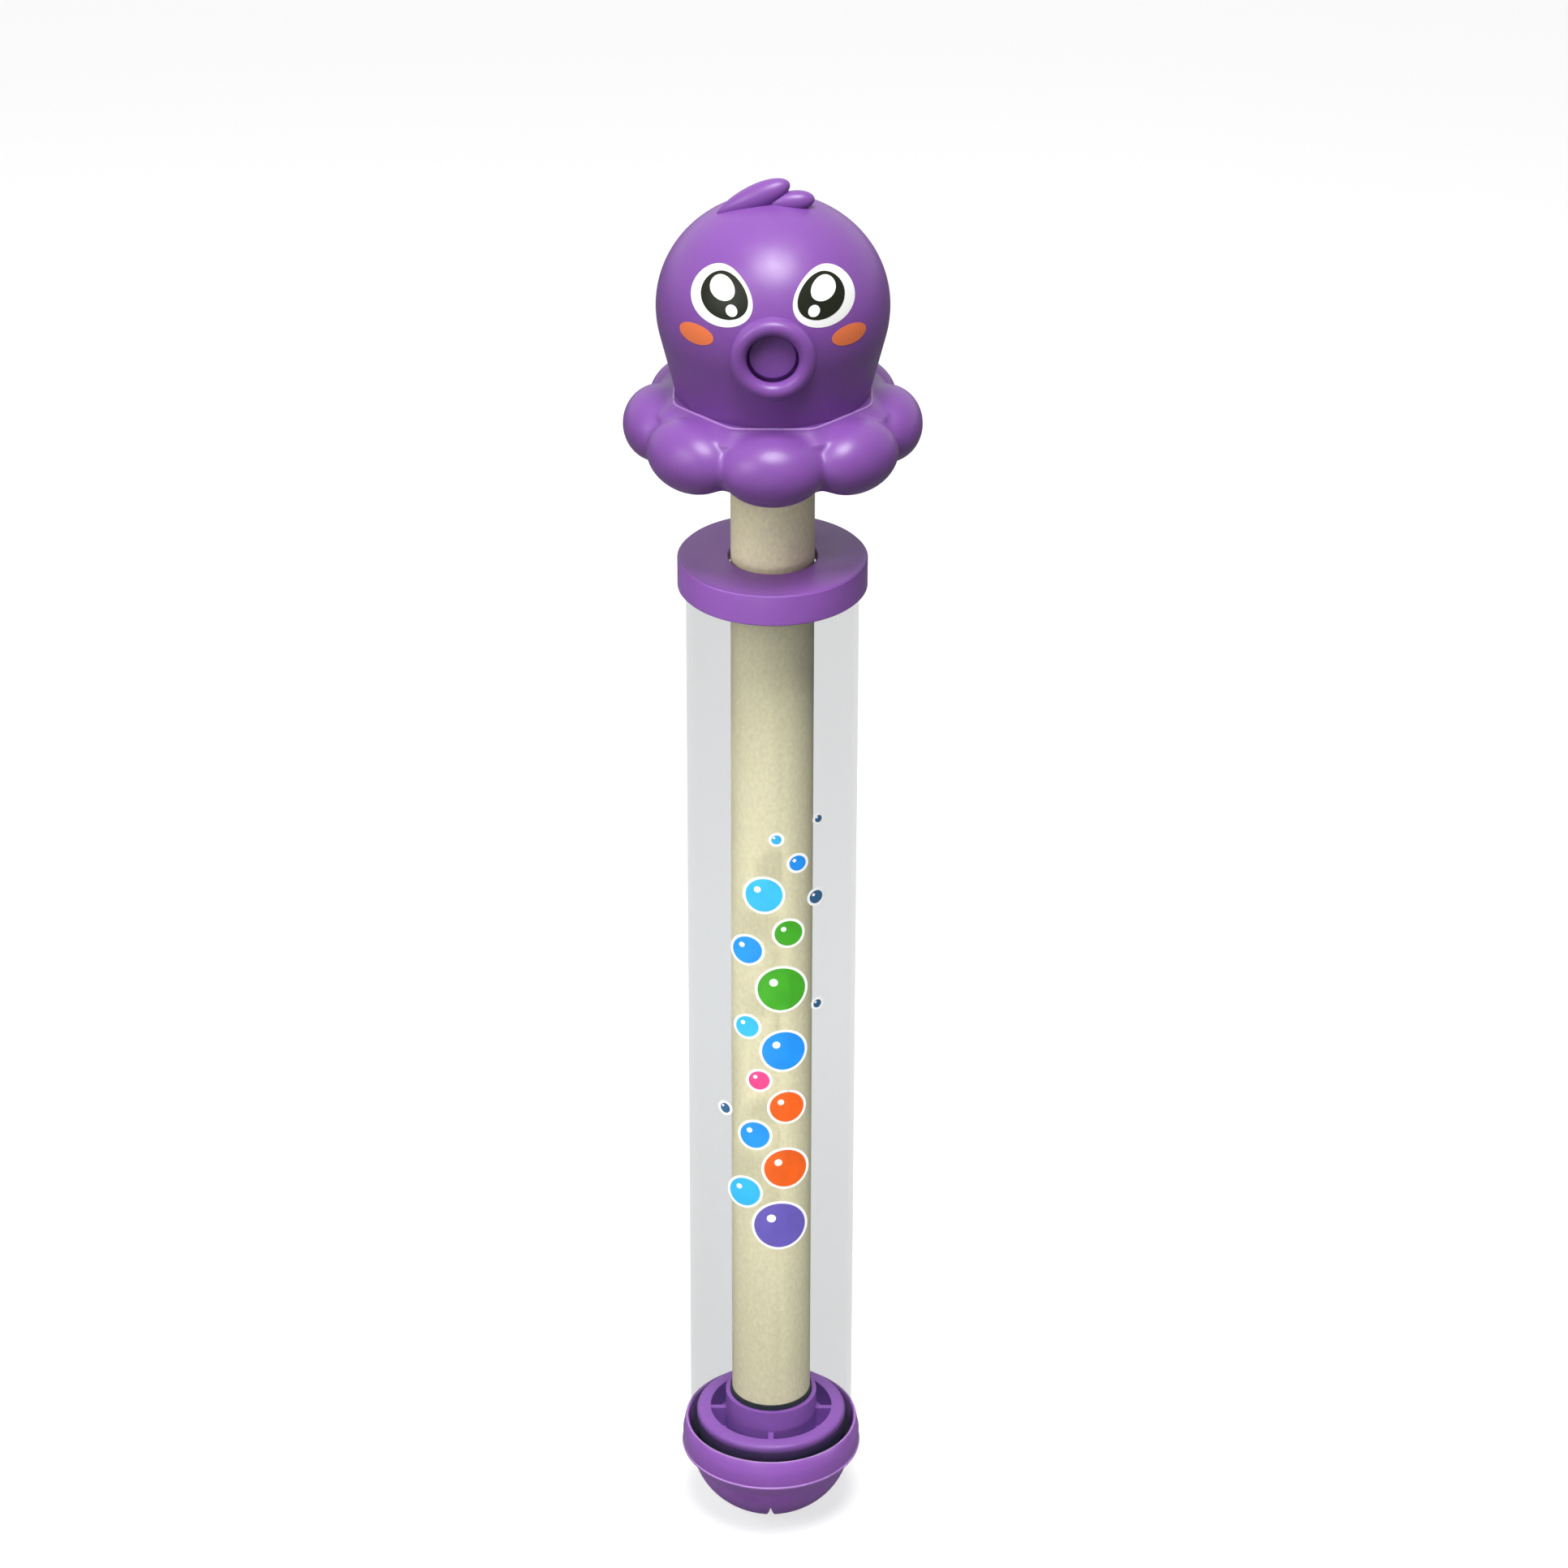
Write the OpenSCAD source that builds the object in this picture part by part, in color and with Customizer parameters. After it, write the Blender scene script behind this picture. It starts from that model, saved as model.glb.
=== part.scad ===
// Water squirter: a clear barrel with a nozzle cap, and a plunger with an octopus for a handle.
// Millimetres. The barrel stands along +Z, the origin is the nozzle's tip, and the face looks along -Y.
// The plunger is drawn pushed right in.

/* [Barrel] */
// Outside diameter of the clear tube
barrel_d = 30.2; // [28:0.1:32]
// Wall of the clear tube
barrel_wall = 0.9; // [0.7:0.05:1.1]
// Length of the clear tube
barrel_l = 183; // [120:1:230]

/* [Nozzle cap] */
// Height of the dome under the rim band
dome_h = 13.4; // [12:0.1:15]
// Wall of the dome
dome_wall = 2; // [1.6:0.1:2.4]
// Height of the rim band
band_h = 6; // [5:0.1:8]
// Wall of the rim band at its foot
band_wall = 1.4; // [1.1:0.05:1.8]
// Bore of the water outlet
outlet_d = 1.6; // [1:0.1:1.8]
// Width of the V-shaped slot across the tip, at its mouth
slot_w = 2.6; // [2.2:0.1:3.2]
// Height of the slot's roof above the tip
slot_h = 7.3; // [5:0.1:7.6]

/* [Top cap] */
// Height of the cap
cap_h = 5.9; // [5:0.1:8]
// Thickness of its top plate
cap_plate = 2.3; // [1.8:0.1:3]
// Wall round the tube
cap_wall = 1.35; // [1:0.05:2]
// Gap between the rod and the hole in the plate
rod_gap = 0.35; // [0.3:0.05:0.7]

/* [Plunger] */
// Outside diameter of the rod
rod_d = 14.6; // [13:0.1:15.4]
// Bore of the rod
rod_bore = 11; // [10:0.1:11.4]
// Height of the piston's ring
piston_h = 6.5; // [5.5:0.1:9]
// Width of the ring's top face
piston_ring_w = 2.6; // [2.4:0.1:2.8]
// Height of the collar above the ring
collar_rise = 3.8; // [3:0.1:5]
// Wall of the collar at its mouth
collar_wall = 0.8; // [0.6:0.05:1]
// Bare rod between the top cap and the tentacles
handle_gap = 18.8; // [12:0.1:30]

/* [Octopus] */
// Widest diameter of the head
head_d = 39.8; // [38.5:0.1:42]
// Height of the head above its widest place
crown_h = 18.8; // [17:0.1:20]
// Slope of the face under the widest place, in degrees
face_slope = 14; // [12.5:0.5:14.5]
// Height of the head's widest place above the middle of the tentacles
head_rise = 22; // [21.6:0.1:23]
// Wall of the head
head_wall = 1.7; // [1.4:0.1:2]
// Diameter over the tentacles
skirt_d = 51.4; // [50.6:0.1:53]
// Thickness of a tentacle
lobe_d = 12.4; // [12:0.1:12.8]
// Length of a tentacle along the ring, with the part inside its neighbours
lobe_l = 17.6; // [17.2:0.1:18.4]
// Diameter over the lips
mouth_d = 14.4; // [13:0.1:15]
// Diameter of the mouth inside the lips
mouth_hole_d = 8.7; // [8:0.1:9.5]
// Depth of the mouth behind the lips' middle
mouth_depth = 2; // [1.4:0.1:2.4]

/* [Fits] */
// Gap round a piece that is glued or clamped in its seat
seat_gap = 0.1; // [0.05:0.01:0.15]
// Gap between the piston and the tube
piston_gap = 0.2; // [0.15:0.05:0.3]
// Gap between a seal and the faces that it rubs on
seal_gap = 0.1; // [0.05:0.01:0.12]
// Gap left at each end of the stroke
stop_gap = 0.1; // [0.05:0.05:0.3]

/* [Hidden] */
$fn = 96;
over = 1;
purple = [0.56, 0.35, 0.72];
beige = [0.86, 0.83, 0.69];
clear = [0.84, 0.87, 0.89, 0.45];
black = [0.08, 0.08, 0.08];
steel = [0.72, 0.72, 0.74];
white = [0.9, 0.9, 0.88];

// Tube, its gasket and the caps at its ends
barrel_r = barrel_d / 2;
bore_r = barrel_r - barrel_wall;
socket_r = barrel_r + seat_gap;
gasket_t = 1;
gasket_w = 2.2;
ledge_rise = 0.2;
ledge_z = dome_h + ledge_rise;
tube_z = ledge_z + gasket_t;
tube_top_z = tube_z + barrel_l;
edge_round = 0.4;

// Nozzle cap
dome_inset = 0.15;
dome_r = barrel_r - dome_inset;
band_r = socket_r + band_wall;
band_top_z = dome_h + band_h;
band_straight_h = 3.2;
rim_wall = 0.6;
lead_in = 0.3;
stop_ring_w = 1.8;
stop_ring_r = socket_r - gasket_w - seat_gap;
stop_rise = 0.4;
stop_z = tube_z + stop_rise;
slot_wall = 1.5;
outlet_boss_d = 4.6;
outlet_boss_h = 1.5;
dome_steps = 20;
underside_h = 2.6;
underside_turn = acos(underside_h / dome_h);

// Top cap
cap_r = socket_r + cap_wall;
cap_z = tube_top_z + cap_plate - cap_h;
cap_top_z = tube_top_z + cap_plate;
rod_r = rod_d / 2;
rod_hole_r = rod_r + rod_gap;
spigot_w = 1.5;
spigot_foot = 0.6;

// Piston and the seals on it
piston_z = stop_z + stop_gap;
piston_r = bore_r - piston_gap;
ring_top_z = piston_z + piston_h;
piston_floor = 2;
hub_floor = 3.5;
ring_round = 0.6;
rib_t = 1;
rib_drop = 0.5;
rib_root = 0.5;
rib_count = 4;
neck_step = 0.6;
neck_r = rod_r - neck_step;
seal_proud = 0.3;
seal_outer_r = rod_r + seal_proud;
collar_bore_r = seal_outer_r + seat_gap;
collar_r = collar_bore_r + collar_wall;
collar_top_z = ring_top_z + collar_rise;
seal_seat_depth = 1.4;
seal_stand = 1;
shoulder_z = collar_top_z + seal_stand;
o_ring_t = 1.8;
o_ring_r = bore_r - seal_gap - o_ring_t / 2;
o_ring_rise = 2.4;
o_ring_z = piston_z + o_ring_rise;
groove_w = o_ring_t + 2 * seal_gap;
groove_r = o_ring_r - o_ring_t / 2 - seal_gap;

// Rod, its plugs and its screws
rod_z = piston_z + hub_floor;
plug_r = rod_bore / 2 - seat_gap / 2;
plug_l = 13;
screw_r = 1.1;
screw_l = 11;
screw_head_r = 2.2;
screw_head_h = 1.3;
screw_hole_r = screw_r + seat_gap;
screw_way_gap = 0.25;
screw_way_r = screw_r + screw_way_gap;
cross_w = 0.6;
cross_depth = 0.7;
cross_share = 0.7;
washer_t = 0.6;
washer_r = 2.5;
top_washer_r = 3.5;
screw_pocket_r = washer_r + seat_gap;
screw_pocket_h = screw_head_h + washer_t + seat_gap;

// Tentacles and the base under them
lobe_count = 8;
lobe_turn = 360 / lobe_count;
lobe_r = lobe_d / 2;
lobe_ring_r = skirt_d / 2 - lobe_r;
lobe_steps = 24;
skirt_z = cap_top_z + handle_gap + lobe_r;
web_out = 0.9;
web_r = lobe_ring_r + web_out;
web_slope_w = 3.2;
web_slope_h = 2.3;
web_top = 4.5;
neck_rim_h = 6.5;
neck_rim_w = 0.4;
pocket_wall = 2.4;
pocket_r = lobe_r - pocket_wall;
pocket_inset = 1.6;
pocket_rise = 0.6;
base_t = 1.9;
base_drop = 3.9;
web_lift = 0.2;
web_foot = base_drop - web_lift;
base_top_z = skirt_z - base_drop;
base_z = base_top_z - base_t;
rod_socket_wall = 1.5;
rod_socket_h = 10.4;
rod_socket_floor = 2;
rod_top_z = base_top_z + rod_socket_h;
base_screw_out = 4;
base_screw_ring = rod_r + base_screw_out;
base_screw_l = 7;
base_screw_r = 0.9;
base_screw_head_r = 1.7;
base_screw_head_h = 1;
base_rim = 3.5;
base_r = base_screw_ring + base_screw_head_r + base_rim;
base_screw_turns = [45, 135, 225, 315];

// Head
head_r = head_d / 2;
head_z = skirt_z + head_rise;
head_steps = 24;
slope_steps = 4;
boss_r = 2.1;
boss_h = 9;
peg_r = 1.2;
peg_l = 3;
peg_boss_r = 2.2;
peg_boss_l = 5;
peg_low = [14.9, -8.9];
peg_high = [13, 10.1];
lip_r = (mouth_d - mouth_hole_d) / 4;
lip_ring_r = (mouth_d + mouth_hole_d) / 4;
lip_out = 0.1;
lip_y = -(head_r + lip_out);
mouth_drop = 1.3;
mouth_z = head_z - mouth_drop;
mouth_floor_y = lip_y + mouth_depth;
mouth_wall = 1.6;
leaf_steps = 24;
leaf_peak = sqrt(0.96) * pow(0.6, 0.25);
big_leaf_x = -9.5;
big_leaf_drop = 2.2;
big_leaf_l = 13.4;
big_leaf_r = 2.15;
big_leaf_rise = 24;
small_leaf_x = -1.8;
small_leaf_front = 0.4;
small_leaf_drop = 0.3;
small_leaf_l = 8.8;
small_leaf_r = 1.75;
small_leaf_rise = 6;

// Outline of the dome from its tip up to an angle round its middle
function dome_outline(turn) = [for (i = [0:dome_steps])
  let (w = turn * i / dome_steps)
  [dome_r * sin(w), dome_h * (1 - cos(w))]];

// Radius of the sloping face at a height, for a head that is smaller by inset all round
function face_r(z, inset) =
  (head_r - inset) / cos(face_slope) - (head_z - z) * tan(face_slope);

// Half outline of the head, smaller by inset all round, from a foot at z up to the crown
function head_outline(inset, foot) = concat(
  [[0, foot], [face_r(foot, inset), foot]],
  [for (i = [0:slope_steps])
    let (w = -face_slope * (1 - i / slope_steps))
    [(head_r - inset) * cos(w), head_z + (head_r - inset) * sin(w)]],
  [for (i = [1:head_steps])
    let (w = 90 * i / head_steps)
    [(head_r - inset) * cos(w), head_z + (crown_h - inset) * sin(w)]]
);

// Half outline of a tentacle about its own axis
function lobe_outline() = [for (i = [0:lobe_steps])
  let (w = -90 + 180 * i / lobe_steps)
  [lobe_r * cos(w), lobe_l / 2 * sin(w)]];

// Half outline of a leaf that is pointed at its foot and round at its end
function leaf_outline(length, r) = [for (i = [0:leaf_steps])
  let (w = 180 * i / leaf_steps)
  [r / leaf_peak * sin(w) * sqrt(sin(w / 2)), length * (1 - cos(w)) / 2]];

module ring(outer_r, inner_r, h) {
  difference() {
    cylinder(r = outer_r, h = h);
    translate([0, 0, -over]) cylinder(r = inner_r, h = h + 2 * over);
  }
}

// Pan-head screw with its head's underside at the origin, its shank along +Z
module pan_screw(shank_r, length, head_r, head_h) {
  difference() {
    union() {
      cylinder(r = shank_r, h = length);
      translate([0, 0, -head_h]) cylinder(r = head_r, h = head_h);
    }
    for (turn = [0, 90])
      rotate([0, 0, turn])
        translate([-head_r * cross_share, -cross_w / 2, -head_h - over])
          cube([2 * head_r * cross_share, cross_w, over + cross_depth]);
  }
}

module nozzle_dome() {
  rotate_extrude()
    polygon(concat(dome_outline(90), [[0, dome_h]]));
}

// Draws a section across the slot out over its whole length
module along_slot() {
  translate([0, barrel_r, 0])
    rotate([90, 0, 0])
      linear_extrude(height = 2 * barrel_r)
        children();
}

module nozzle_cap() {
  inner_r = dome_r - dome_wall;
  inner_h = dome_h - dome_wall;
  open_r = stop_ring_r - stop_ring_w;
  open_z = dome_h - inner_h * sqrt(1 - pow(open_r / inner_r, 2));
  open_turn = acos(open_r / inner_r);
  color(purple)
    difference() {
      union() {
        rotate_extrude()
          polygon(concat(
            dome_outline(underside_turn),
            [
              [band_r - edge_round, dome_h - edge_round / 2],
              [band_r, dome_h + edge_round],
              [band_r, dome_h + band_straight_h],
              [socket_r + lead_in + rim_wall, band_top_z - edge_round / 2],
              [socket_r + lead_in + rim_wall / 2, band_top_z],
              [socket_r + lead_in, band_top_z - edge_round / 2],
              [socket_r, dome_h + band_straight_h],
              [socket_r, ledge_z],
              [stop_ring_r, ledge_z],
              [stop_ring_r, stop_z],
              [open_r, stop_z],
              [open_r, open_z]
            ],
            [for (i = [1:dome_steps])
              let (w = open_turn + (90 - open_turn) * i / dome_steps)
              [inner_r * cos(w), dome_h - inner_h * sin(w)]]
          ));
        intersection() {
          nozzle_dome();
          along_slot()
            polygon([
              [-slot_w / 2 - slot_wall, 0],
              [slot_w / 2 + slot_wall, 0],
              [slot_wall, slot_h + slot_wall],
              [-slot_wall, slot_h + slot_wall]
            ]);
        }
        translate([0, 0, slot_h + slot_wall / 2])
          cylinder(d = outlet_boss_d, h = outlet_boss_h + slot_wall / 2);
      }
      along_slot()
        polygon([
          [-slot_w / 2, 0],
          [-slot_w / 2, -over],
          [slot_w / 2, -over],
          [slot_w / 2, 0],
          [0, slot_h]
        ]);
      cylinder(d = outlet_d, h = dome_h);
    }
}

module barrel_gasket() {
  color(black)
    translate([0, 0, ledge_z])
      ring(socket_r - seat_gap / 2, socket_r - gasket_w, gasket_t);
}

module barrel_tube() {
  color(clear)
    translate([0, 0, tube_z])
      ring(barrel_r, bore_r, barrel_l);
}

module top_cap() {
  spigot_r = bore_r - seat_gap;
  color(purple)
    rotate_extrude()
      polygon([
        [rod_hole_r, tube_top_z + edge_round],
        [rod_hole_r, cap_top_z - edge_round],
        [rod_hole_r + edge_round, cap_top_z],
        [cap_r - edge_round, cap_top_z],
        [cap_r, cap_top_z - edge_round],
        [cap_r, cap_z + edge_round],
        [cap_r - edge_round, cap_z],
        [socket_r, cap_z],
        [socket_r, tube_top_z],
        [spigot_r, tube_top_z],
        [spigot_r, cap_z + spigot_foot],
        [spigot_r - spigot_w, cap_z + spigot_foot],
        [spigot_r - spigot_w, tube_top_z],
        [rod_hole_r + edge_round, tube_top_z]
      ]);
}

module piston() {
  ring_inner_r = piston_r - piston_ring_w;
  groove_low = o_ring_z - groove_w / 2;
  groove_high = o_ring_z + groove_w / 2;
  rib_h = ring_top_z - rib_drop - piston_z;
  color(purple)
    difference() {
      union() {
        rotate_extrude()
          polygon([
            [screw_way_r, piston_z],
            [piston_r - edge_round, piston_z],
            [piston_r, piston_z + edge_round],
            [piston_r, groove_low],
            [groove_r, groove_low],
            [groove_r, groove_high],
            [piston_r, groove_high],
            [piston_r, ring_top_z - ring_round],
            [piston_r - ring_round, ring_top_z],
            [ring_inner_r, ring_top_z],
            [ring_inner_r, piston_z + piston_floor],
            [collar_r, piston_z + piston_floor],
            [collar_r, collar_top_z],
            [collar_bore_r, collar_top_z],
            [collar_bore_r, collar_top_z - seal_seat_depth],
            [neck_r + seat_gap, collar_top_z - seal_seat_depth],
            [neck_r + seat_gap, rod_z],
            [screw_way_r, rod_z]
          ]);
        for (i = [0:rib_count - 1])
          rotate([0, 0, 360 / rib_count * i])
            translate([collar_r - collar_wall, -rib_t / 2, piston_z + piston_floor / 2])
              cube([ring_inner_r - collar_r + collar_wall + rib_root, rib_t, rib_h - piston_floor / 2]);
      }
      translate([0, 0, piston_z - over])
        cylinder(r = screw_pocket_r, h = screw_pocket_h + over);
    }
}

module piston_o_ring() {
  color(black)
    translate([0, 0, o_ring_z])
      rotate_extrude()
        translate([o_ring_r, 0])
          circle(d = o_ring_t);
}

module piston_screw() {
  color(steel)
    translate([0, 0, piston_z + screw_pocket_h - washer_t])
      pan_screw(screw_r, screw_l, screw_head_r, screw_head_h);
}

module piston_screw_seal() {
  color(black)
    translate([0, 0, piston_z + screw_pocket_h - washer_t])
      ring(washer_r, screw_hole_r, washer_t);
}

module rod_seal_ring() {
  seat_z = collar_top_z - seal_seat_depth;
  color(black)
    translate([0, 0, seat_z])
      ring(seal_outer_r, neck_r + seat_gap / 2, shoulder_z - seat_z);
}

module plunger_rod() {
  color(beige)
    rotate_extrude()
      polygon([
        [rod_bore / 2, rod_z],
        [neck_r, rod_z],
        [neck_r, shoulder_z],
        [rod_r, shoulder_z],
        [rod_r, rod_top_z],
        [rod_bore / 2, rod_top_z]
      ]);
}

module rod_bottom_plug() {
  color(white)
    difference() {
      translate([0, 0, rod_z]) cylinder(r = plug_r, h = plug_l);
      translate([0, 0, rod_z - over]) cylinder(r = screw_hole_r, h = screw_l + over);
    }
}

module rod_top_plug() {
  color(white)
    difference() {
      translate([0, 0, rod_top_z - plug_l]) cylinder(r = plug_r, h = plug_l);
      translate([0, 0, rod_top_z - screw_l]) cylinder(r = screw_hole_r, h = screw_l + over);
    }
}

module rod_top_screw() {
  color(steel)
    translate([0, 0, rod_top_z + rod_socket_floor + washer_t])
      mirror([0, 0, 1])
        pan_screw(screw_r, screw_l, screw_head_r, screw_head_h);
}

module rod_top_washer() {
  color(steel)
    translate([0, 0, rod_top_z + rod_socket_floor])
      ring(top_washer_r, screw_hole_r, washer_t);
}

module at_base_screws() {
  for (turn = base_screw_turns)
    rotate([0, 0, turn])
      translate([base_screw_ring, 0, 0])
        children();
}

module skirt_base() {
  color(purple)
    difference() {
      union() {
        translate([0, 0, base_z]) cylinder(r = base_r, h = base_t);
        translate([0, 0, base_z])
          cylinder(r = rod_r + rod_socket_wall, h = rod_top_z + rod_socket_floor - base_z);
      }
      translate([0, 0, base_z - over])
        cylinder(r = rod_r + seat_gap / 2, h = rod_top_z - base_z + over);
      cylinder(r = screw_way_r, h = rod_top_z + rod_socket_floor + over);
      at_base_screws() {
        translate([0, 0, base_z - over])
          cylinder(r = base_screw_head_r + seat_gap, h = base_screw_head_h + over);
        translate([0, 0, base_z])
          cylinder(r = base_screw_r + seat_gap, h = base_t + over);
      }
    }
}

module base_screws() {
  color(steel)
    at_base_screws()
      translate([0, 0, base_z + base_screw_head_h])
        pan_screw(base_screw_r, base_screw_l, base_screw_head_r, base_screw_head_h);
}

// Places its children at the middle of each tentacle, moved in towards the axis by inset
module at_lobes(inset) {
  for (i = [0:lobe_count - 1])
    rotate([0, 0, lobe_turn * i])
      translate([0, inset - lobe_ring_r, skirt_z])
        children();
}

// Eight hollow tentacles on a ring that joins them, with a seat for the base and a rim round the head
module tentacle_skirt() {
  low_z = skirt_z - lobe_d;
  high_z = skirt_z + lobe_d;
  color(purple)
    difference() {
      union() {
        at_lobes(0)
          rotate([0, 90, 0])
            rotate_extrude()
              polygon(lobe_outline());
        translate([0, 0, skirt_z])
          rotate_extrude()
            polygon([
              [rod_r, -web_foot],
              [web_r, -web_foot],
              [web_r, web_top - web_slope_h],
              [web_r - web_slope_w, web_top],
              [rod_r, web_top]
            ]);
        translate([0, 0, skirt_z])
          cylinder(r = face_r(skirt_z + neck_rim_h, -neck_rim_w), h = neck_rim_h);
      }
      translate([0, 0, low_z])
        cylinder(
          r1 = face_r(low_z, -seat_gap / 2),
          r2 = face_r(high_z, -seat_gap / 2),
          h = high_z - low_z
        );
      translate([0, 0, low_z])
        cylinder(r = base_r + seat_gap, h = base_top_z - low_z);
      at_lobes(pocket_inset)
        translate([0, 0, pocket_rise])
          sphere(r = pocket_r);
    }
}

module head_solid(inset, foot) {
  rotate_extrude() polygon(head_outline(inset, foot));
}

module leaf(length, r) {
  rotate_extrude() polygon(leaf_outline(length, r));
}

// Two leaves that lie on the crown, a big one over a small one
module tuft() {
  crown_z = head_z + crown_h;
  translate([big_leaf_x, 0, crown_z - big_leaf_drop])
    rotate([0, 90 - big_leaf_rise, 0])
      leaf(big_leaf_l, big_leaf_r);
  translate([small_leaf_x, -small_leaf_front, crown_z - small_leaf_drop])
    rotate([0, 90 - small_leaf_rise, 0])
      leaf(small_leaf_l, small_leaf_r);
}

module lips() {
  translate([0, lip_y, mouth_z])
    rotate([90, 0, 0])
      rotate_extrude()
        translate([lip_ring_r, 0])
          circle(r = lip_r);
}

module at_pegs() {
  for (side = [-1, 1])
    for (peg = [peg_low, peg_high])
      translate([side * peg[0], 0, head_z + peg[1]])
        rotate([90, 0, 0])
          children();
}

// Keeps the front half with side -1 and the rear half with side 1
module head_half(side) {
  intersection() {
    children();
    translate([-skirt_d, side < 0 ? -2 * skirt_d : 0, 0])
      cube([2 * skirt_d, 2 * skirt_d, 2 * head_z]);
  }
}

// Hollow head with the bosses that both halves share
module head_hollow() {
  difference() {
    union() {
      difference() {
        head_solid(0, base_top_z);
        head_solid(head_wall, base_top_z - over);
      }
      intersection() {
        head_solid(head_wall / 2, base_top_z);
        union() {
          at_base_screws()
            translate([0, 0, base_top_z]) cylinder(r = boss_r, h = boss_h);
          at_pegs()
            cylinder(r = peg_boss_r, h = 2 * peg_boss_l, center = true);
        }
      }
    }
    at_base_screws()
      cylinder(r = base_screw_r + seat_gap, h = base_top_z + base_screw_l);
  }
}

module head_front_shell() {
  color(purple) {
    difference() {
      head_half(-1)
        union() {
          head_hollow();
          difference() {
            tuft();
            head_solid(head_wall / 2, base_top_z);
          }
          difference() {
            lips();
            head_solid(head_wall / 2, base_top_z);
          }
          translate([0, mouth_floor_y + mouth_wall, mouth_z])
            rotate([90, 0, 0])
              cylinder(r = lip_ring_r, h = mouth_wall + mouth_depth / 2);
        }
      translate([0, mouth_floor_y, mouth_z])
        rotate([90, 0, 0])
          cylinder(d = mouth_hole_d, h = head_r);
    }
    at_pegs()
      translate([0, 0, -peg_l])
        cylinder(r = peg_r, h = peg_l + over);
  }
}

module head_rear_shell() {
  color(purple)
    difference() {
      head_half(1)
        union() {
          head_hollow();
          difference() {
            tuft();
            head_solid(head_wall / 2, base_top_z);
          }
        }
      at_pegs()
        translate([0, 0, -peg_l - seat_gap])
          cylinder(r = peg_r + seat_gap, h = peg_l + over);
    }
}

nozzle_cap();
barrel_gasket();
barrel_tube();
top_cap();
piston();
piston_o_ring();
piston_screw();
piston_screw_seal();
rod_seal_ring();
plunger_rod();
rod_bottom_plug();
rod_top_plug();
rod_top_screw();
rod_top_washer();
skirt_base();
base_screws();
tentacle_skirt();
head_front_shell();
head_rear_shell();
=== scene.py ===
"""Water squirter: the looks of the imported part, in metres, in the part's own frame."""

import math

import bmesh
import bpy
import numpy as np
from mathutils import Matrix, Vector

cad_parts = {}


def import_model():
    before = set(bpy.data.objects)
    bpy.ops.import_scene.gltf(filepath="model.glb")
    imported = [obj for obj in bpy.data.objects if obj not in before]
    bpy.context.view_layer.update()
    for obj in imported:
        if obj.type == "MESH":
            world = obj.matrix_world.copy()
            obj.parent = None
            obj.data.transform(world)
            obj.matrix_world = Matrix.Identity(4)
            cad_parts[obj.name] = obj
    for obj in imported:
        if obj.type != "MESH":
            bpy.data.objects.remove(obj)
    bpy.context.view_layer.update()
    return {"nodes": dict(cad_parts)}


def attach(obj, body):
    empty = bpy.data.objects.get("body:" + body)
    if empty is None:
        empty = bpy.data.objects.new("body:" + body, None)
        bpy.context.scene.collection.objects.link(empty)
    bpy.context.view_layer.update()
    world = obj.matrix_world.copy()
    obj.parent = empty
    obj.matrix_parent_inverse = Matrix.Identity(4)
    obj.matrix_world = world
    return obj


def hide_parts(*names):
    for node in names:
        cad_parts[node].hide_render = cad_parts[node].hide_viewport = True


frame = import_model()
nodes = frame["nodes"]
MM = 0.001

# Sizes of the solids, in millimetres
BARREL_R = 15.1
BAND_R = 16.6
BAND_FOOT_Z = 13.8
BAND_TOP_R = 15.8
BAND_TOP_Z = 19.4
PISTON_R = 14.0
RING_TOP_Z = 21.6
HEAD_R = 19.9
HEAD_Z = 246.9
CROWN_H = 18.8
CROWN_Z = HEAD_Z + CROWN_H
FACE_SLOPE = math.radians(14)
HEAD_FOOT_Z = 221.0
SKIRT_Z = 224.9
LOBE_COUNT = 8
LOBE_R = 6.2
LOBE_HALF_L = 8.8
LOBE_RING_R = 19.5
LIP_Y = -20.0
LIP_RING_R = 5.775
LIP_R = 1.425
MOUTH_Z = 245.6

# Linear colours
PURPLE = (0.212, 0.073, 0.350)
# The same purple made lighter for the caps and the piston: painted light, as they lie in the
# tentacles' shade
PURPLE_PAINTED_LIGHT = (0.315, 0.110, 0.515)
# A lighter purple for the rounded beads: a painted highlight on their real edges
PURPLE_PAINTED_HIGHLIGHT = (0.42, 0.21, 0.58)
# Painted shade for the lower outer wall of the piston
PURPLE_PAINTED_SHADE = (0.055, 0.017, 0.085)
BEIGE = (0.90, 0.835, 0.545)
CLEAR = (0.02, 0.06, 0.085)
WHITE = (0.86, 0.86, 0.85)
INK_WHITE = (0.90, 0.90, 0.89)
INK_BLACK = (0.013, 0.016, 0.009)
INK_ORANGE = (0.86, 0.20, 0.065)
RUBBER = (0.012, 0.012, 0.012)
STEEL = (0.55, 0.55, 0.57)


# Materials

NOISE_LOW, NOISE_HIGH = 0.3, 0.7
MIX_FACTOR, MIX_A, MIX_B, MIX_RESULT = 0, 6, 7, 2
EVEN = (1, 1, 1)
DRIFT_DETAIL = 3.0
FINE_DETAIL = 2.0
GLOSS_RATIO = 4
GLOSS_SPREAD = 0.1
GRAIN_SCALE = 2500
GRAIN_STRENGTH = 0.5
GRAIN_M = 0.00002
ROD_GRAIN_M = 0.00004
ROD_STRETCH = (1, 1, 0.7)
INK_MIRROR = 0.2
TUBE_FROST_SCALE = 40
TUBE_FROST_STRETCH = (1, 1, 0.25)
TUBE_DRIFT = 0.05
TUBE_GLOSS_SCALE = 300
TUBE_ROUGH = (0.12, 0.18)
TUBE_MIRROR = 0.06
TUBE_ALPHA = (0.01, 0.213)
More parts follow.
